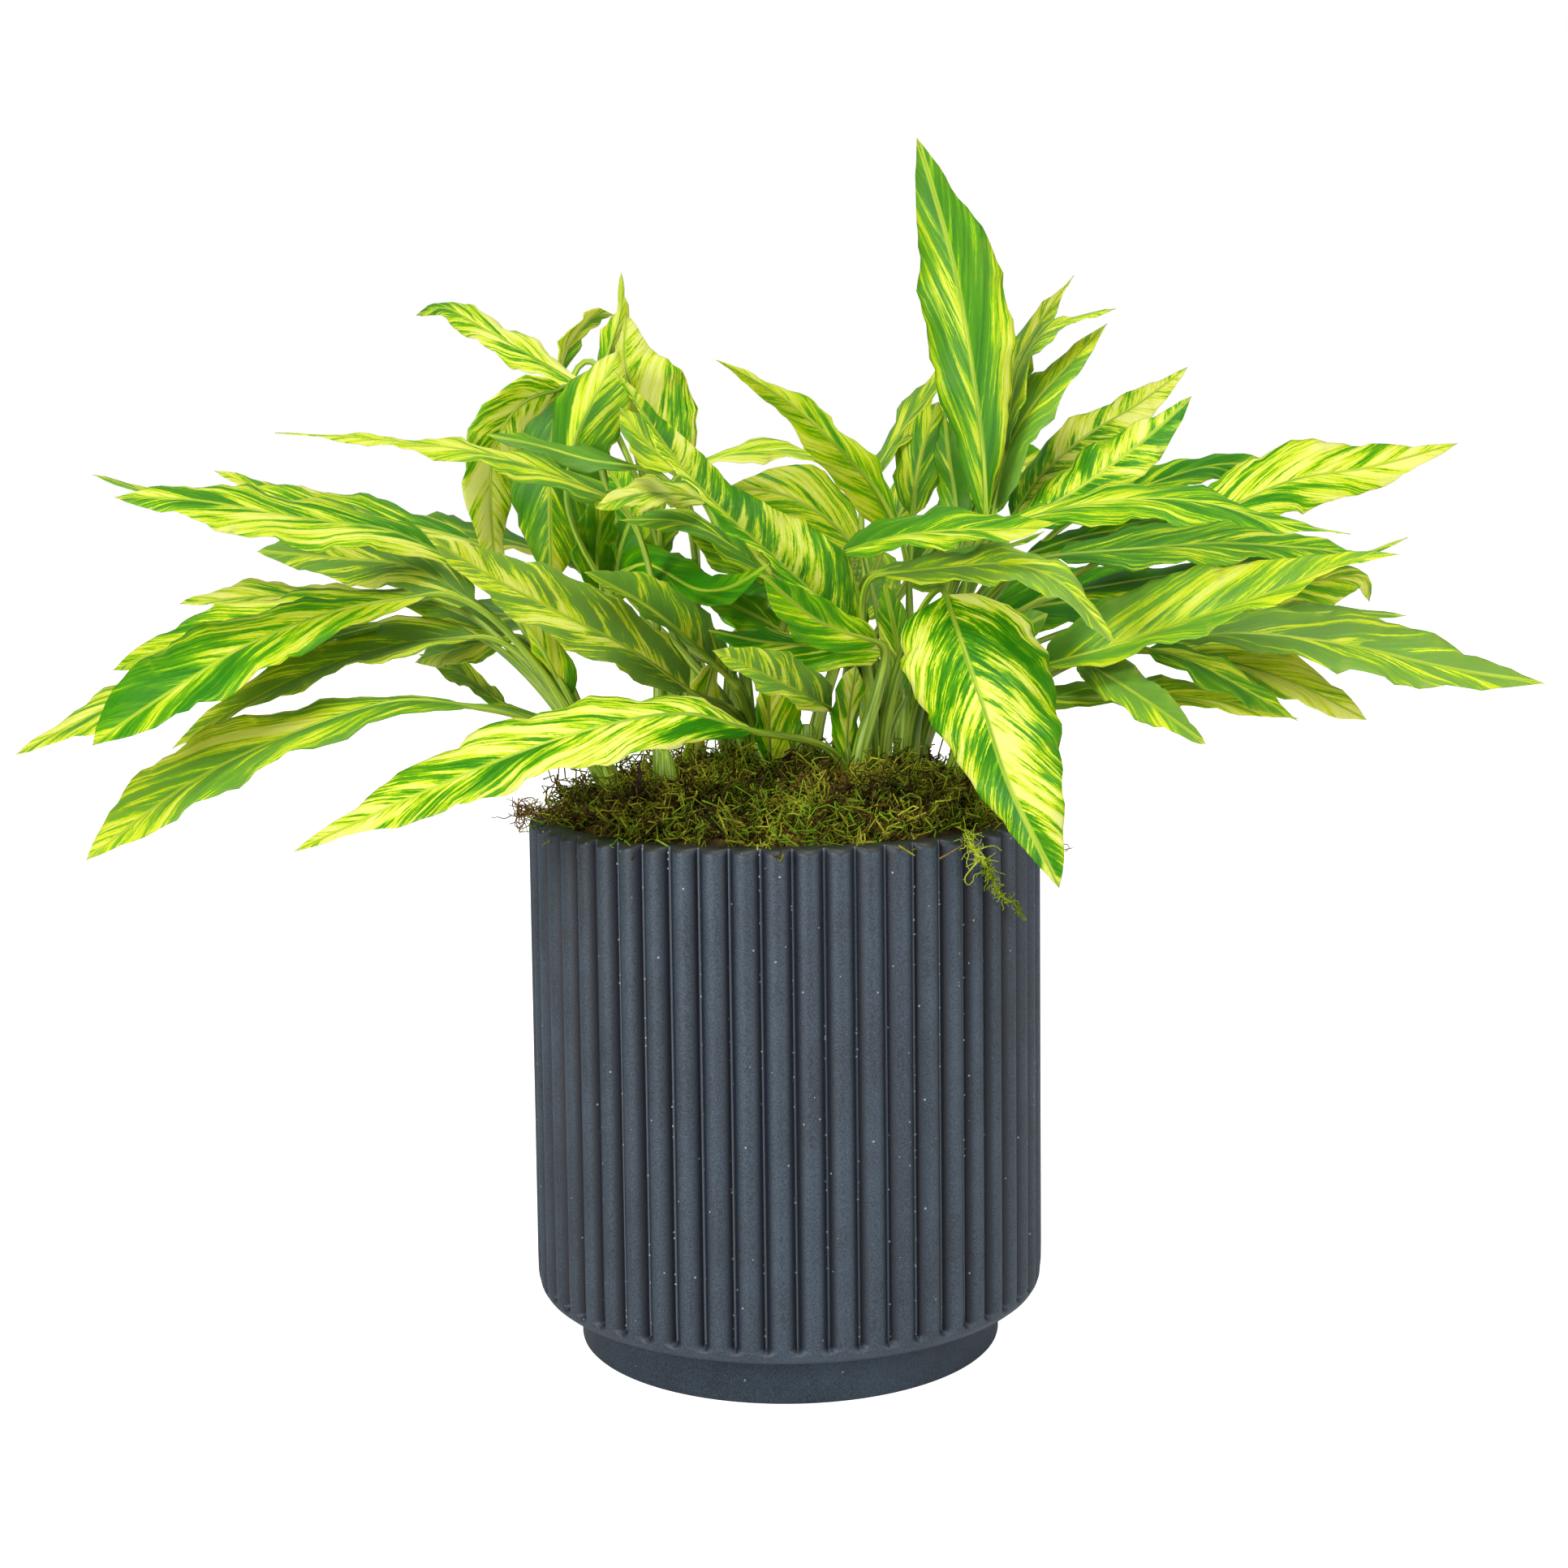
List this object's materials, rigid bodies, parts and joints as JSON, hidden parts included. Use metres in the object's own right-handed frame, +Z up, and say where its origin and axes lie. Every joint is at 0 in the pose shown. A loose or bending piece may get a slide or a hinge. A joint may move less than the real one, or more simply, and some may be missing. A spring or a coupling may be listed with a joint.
{
  "type": "potted cordyline",
  "caption": "Potted foliage plant: a round fluted planter on a recessed foot, filled with soil and moss, with a spreading clump of long pointed yellow-striped leaves.",
  "frame": {"origin": "centre of the flat underside of the pot's foot, on the floor", "axes": "+Z up along the pot's axis; the picture's viewer stands on the -Y side and looks along +Y; +X is to the viewer's right"},
  "size_m": [0.7377, 0.4359, 0.5917],
  "materials": {
    "pot": "matte",
    "soil": "matte",
    "moss": "matte",
    "leaf": "satin"
  },
  "bodies": {
    "root": {"pot": "pot", "soil": "soil", "moss_bed": "moss", "shoot_left": "leaf", "shoot_front_left": "leaf", "shoot_top_left": "leaf", "shoot_middle": "leaf", "shoot_barred": "leaf", "shoot_front": "leaf", "shoot_front_right": "leaf", "shoot_tall": "leaf", "shoot_right": "leaf", "shoot_right_high": "leaf", "shoot_back_left": "leaf", "shoot_back_right": "leaf"}
  },
  "joints": []
}
